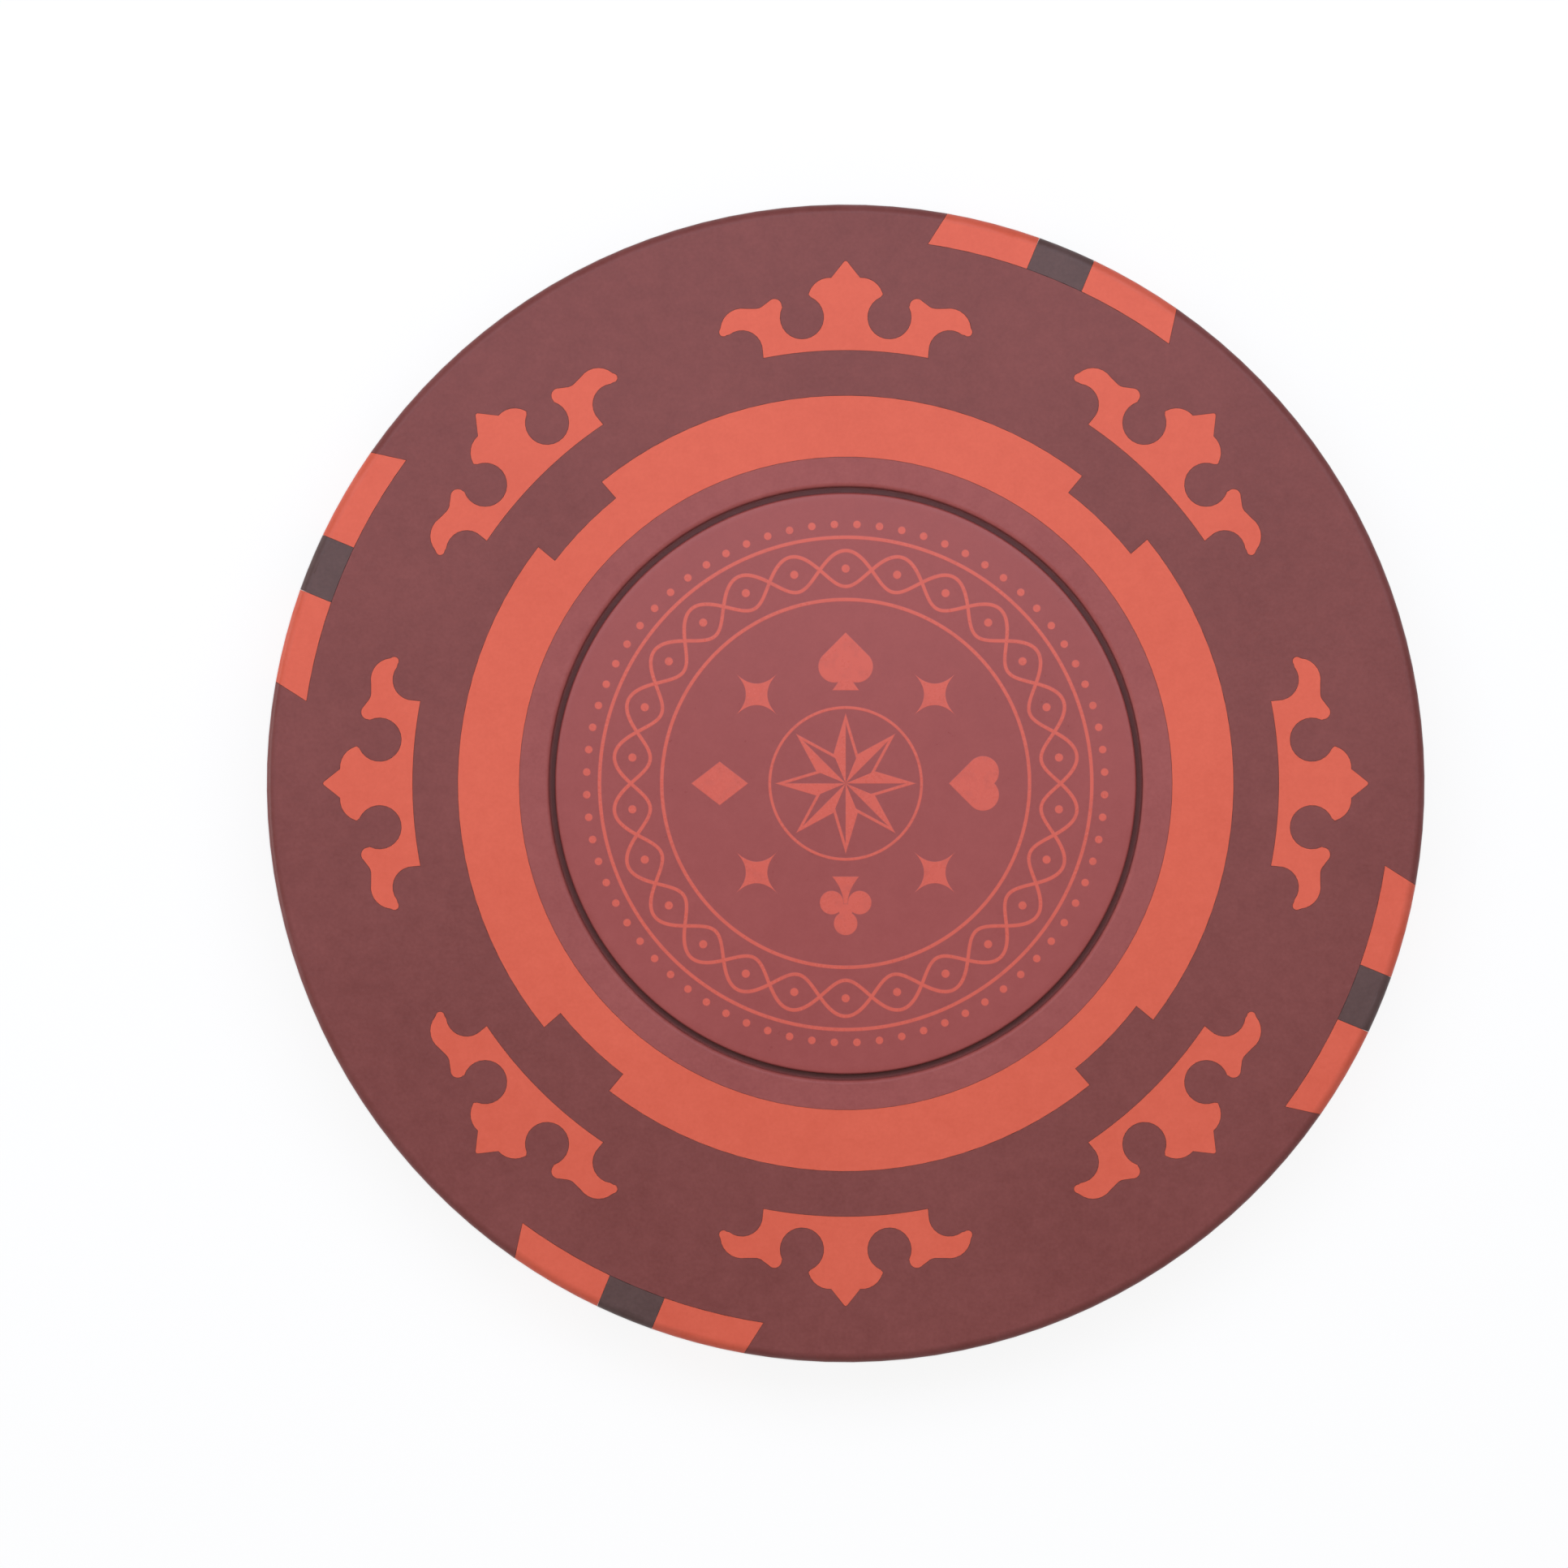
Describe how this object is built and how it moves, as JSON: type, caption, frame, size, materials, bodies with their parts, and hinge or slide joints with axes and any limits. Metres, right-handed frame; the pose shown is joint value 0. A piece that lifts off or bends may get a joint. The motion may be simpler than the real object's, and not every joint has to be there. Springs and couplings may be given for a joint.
{
  "type": "poker chip",
  "caption": "Round poker chip: moulded body with inlaid rim spots, crowns and notched colour rings, and labelled centre discs pinned together round a steel slug.",
  "frame": {"origin": "centre of the lower face, where the chip lies on a table", "axes": "+Z along the chip's axis, up through the face that the picture shows; +Y towards the top of the picture, through crown_1"},
  "size_m": [0.04, 0.04, 0.0035],
  "materials": {
    "body_maroon": "matte",
    "salmon_inlay": "matte",
    "dark_inlay": "matte",
    "centre_red": "matte",
    "label_print": "satin",
    "slug_steel": "satin"
  },
  "bodies": {
    "root": {"body": "body_maroon", "steel_slug": "slug_steel", "front_centre_disc": "centre_red", "rear_centre_disc": "centre_red", "front_ring": "salmon_inlay", "rear_ring": "salmon_inlay", "front_label": "label_print", "rear_label": "label_print", "crown_1": "salmon_inlay", "crown_2": "salmon_inlay", "crown_3": "salmon_inlay", "crown_4": "salmon_inlay", "crown_5": "salmon_inlay", "crown_6": "salmon_inlay", "crown_7": "salmon_inlay", "crown_8": "salmon_inlay", "edge_spot_1": "salmon_inlay", "edge_spot_2": "salmon_inlay", "edge_spot_3": "salmon_inlay", "edge_spot_4": "salmon_inlay", "edge_spot_5": "salmon_inlay", "edge_spot_6": "salmon_inlay", "edge_spot_7": "salmon_inlay", "edge_spot_8": "salmon_inlay", "dark_spot_1": "dark_inlay", "dark_spot_2": "dark_inlay", "dark_spot_3": "dark_inlay", "dark_spot_4": "dark_inlay"}
  },
  "joints": []
}
